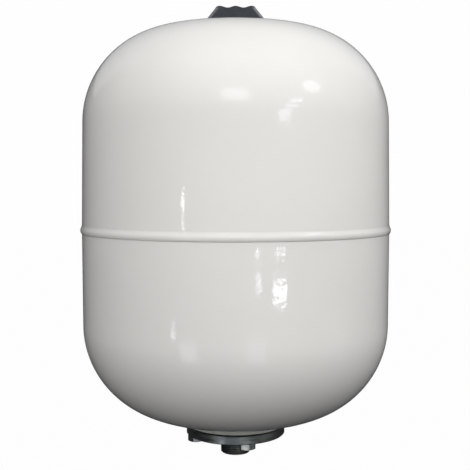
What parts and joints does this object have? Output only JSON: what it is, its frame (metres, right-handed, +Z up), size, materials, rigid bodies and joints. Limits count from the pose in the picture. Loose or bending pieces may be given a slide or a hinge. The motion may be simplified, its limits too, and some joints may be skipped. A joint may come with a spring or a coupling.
{
  "type": "expansion vessel",
  "caption": "Upright domed steel expansion vessel with a rubber bladder, a bolted counter-flange with a threaded water connection below, and a gas valve under a square cover on top.",
  "frame": {"origin": "centre of the water connection's lower end face, on the vessel's axis", "axes": "+Z up along the vessel's axis, -Z the way the pipe fitting leaves the connection; -Y is the side seen from the front"},
  "size_m": [0.2728, 0.2728, 0.3942],
  "materials": {
    "shell_paint": "gloss white powder coat with fine orange peel",
    "weld_paint": "gloss white powder coat over a smooth weld bead",
    "neck_paint": "thin white powder coat",
    "zinc_plate": "zinc plated, brushed",
    "zinc_thread": "zinc plated, turned",
    "zinc_weld": "zinc plated weld",
    "bolt_zinc": "bright zinc plated",
    "bladder_rubber": "matt",
    "liner_plastic": "natural polypropylene",
    "boss_steel": "turned, zinc plated",
    "stem_brass": "turned",
    "core_brass": "turned",
    "pin_steel": "drawn wire",
    "spring_steel": "drawn wire",
    "gasket_plastic": "moulded",
    "seal_rubber": "matt",
    "cover_plastic": "moulded, fine grained",
    "cap_plastic": "moulded"
  },
  "bodies": {
    "vessel": {"upper_shell": "shell_paint", "lower_shell": "shell_paint", "seam_weld": "weld_paint", "neck_ring": "neck_paint", "neck_ring_weld": "neck_paint", "bladder": "bladder_rubber", "counter_flange": "zinc_plate", "flange_liner": "liner_plastic", "water_connection": "zinc_thread", "connection_weld": "zinc_weld", "flange_bolts": "bolt_zinc", "valve_boss": "boss_steel", "valve_boss_weld": "shell_paint", "valve_stem": "stem_brass", "valve_stem_seal": "seal_rubber", "valve_core_body": "core_brass", "valve_core_gasket": "gasket_plastic", "valve_core_spring": "spring_steel"},
    "valve_cover": {"valve_cover": "cover_plastic"},
    "dust_cap_seat": {"dust_cap_seal": "seal_rubber"},
    "dust_cap": {"dust_cap": "cap_plastic"},
    "valve_pin": {"valve_core_pin": "pin_steel", "valve_core_seal": "seal_rubber"}
  },
  "joints": [
    {"name": "valve_cover_lift", "type": "slide", "parent": "vessel", "child": "valve_cover", "axis": [0, 0, 1], "range_m": [0, 0.06]},
    {"name": "dust_cap_lift", "type": "slide", "parent": "vessel", "child": "dust_cap_seat", "axis": [0, 0, 1], "range_m": [0, 0.0121]},
    {"name": "dust_cap_turn", "type": "hinge", "parent": "dust_cap_seat", "child": "dust_cap", "pos_m": [0, 0, 0.38], "axis": [0, 0, 1], "range_deg": [0, 5441.8]},
    {"name": "valve_pin_press", "type": "slide", "parent": "vessel", "child": "valve_pin", "axis": [0, 0, -1], "range_m": [0, 0.0012], "stiffness_N_per_m": 800, "springref_m": -0.002, "deforming": ["valve_core_spring"]}
  ],
  "couplings": [
    {"joint": "dust_cap_lift", "follows": "valve_cover_lift", "ratio": 0.2},
    {"joint": "dust_cap_turn", "follows": "valve_cover_lift", "rad_per_m": 1582.7}
  ]
}
